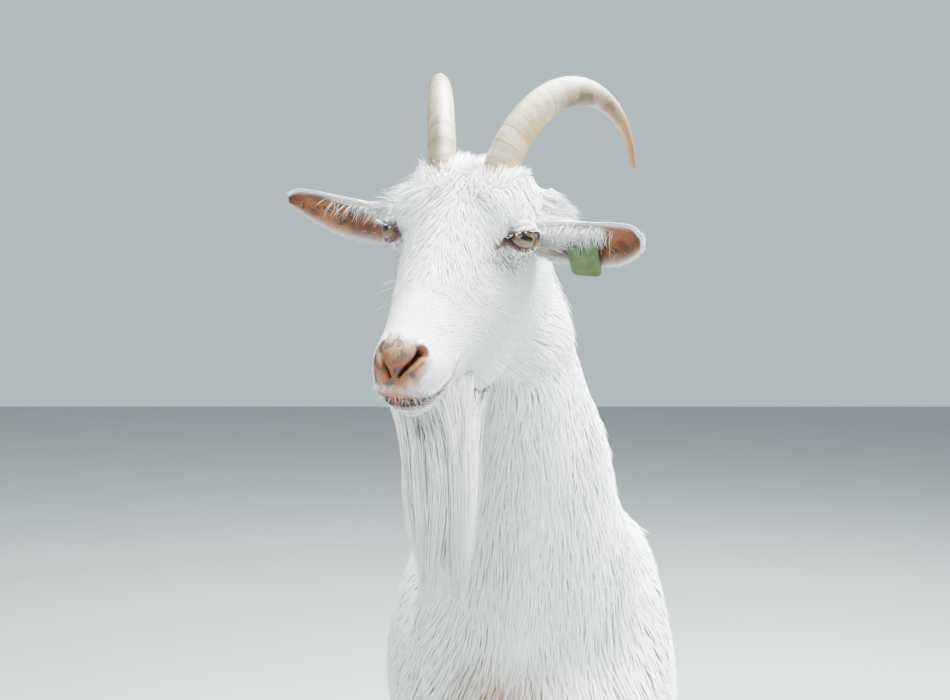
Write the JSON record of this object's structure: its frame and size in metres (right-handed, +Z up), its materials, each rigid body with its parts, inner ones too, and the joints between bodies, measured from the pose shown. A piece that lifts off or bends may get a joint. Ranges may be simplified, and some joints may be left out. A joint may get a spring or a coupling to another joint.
{
  "type": "goat",
  "caption": "Still life-size model of a white horned, bearded dairy goat standing on all fours, head raised and turned, with a bare ear tag.",
  "frame": {"origin": "middle of the animal's bounding box at floor level", "axes": "+Z up, the goat faces -Y, +X is its own left side"},
  "size_m": [0.4258, 1.084, 1.2199],
  "materials": {
    "coat": "short to medium white goat hair",
    "beard": "long straight cream-white hair",
    "ear_skin": "thin pink-brown skin, short white hair outside",
    "eye": "wet, amber iris with a dark bar pupil",
    "horn": "beige keratin with faint growth rings",
    "claw": "grey-brown keratin",
    "tag": "moulded green plastic, bare"
  },
  "bodies": {
    "root": {"beard": "beard", "claw_fore_left_inner": "claw", "claw_fore_left_outer": "claw", "claw_fore_right_inner": "claw", "claw_fore_right_outer": "claw", "claw_hind_left_inner": "claw", "claw_hind_left_outer": "claw", "claw_hind_right_inner": "claw", "claw_hind_right_outer": "claw", "ear_left": "ear_skin", "ear_right": "ear_skin", "eye_left": "eye", "eye_right": "eye", "foreleg_lower_left": "coat", "foreleg_lower_right": "coat", "foreleg_upper_left": "coat", "foreleg_upper_right": "coat", "head": "coat", "hindleg_lower_left": "coat", "hindleg_lower_right": "coat", "hindleg_upper_left": "coat", "hindleg_upper_right": "coat", "horn_left": "horn", "horn_right": "horn", "neck": "coat", "tag_flap": "tag", "tag_rivet": "tag", "tail": "coat", "trunk": "coat"}
  },
  "joints": []
}
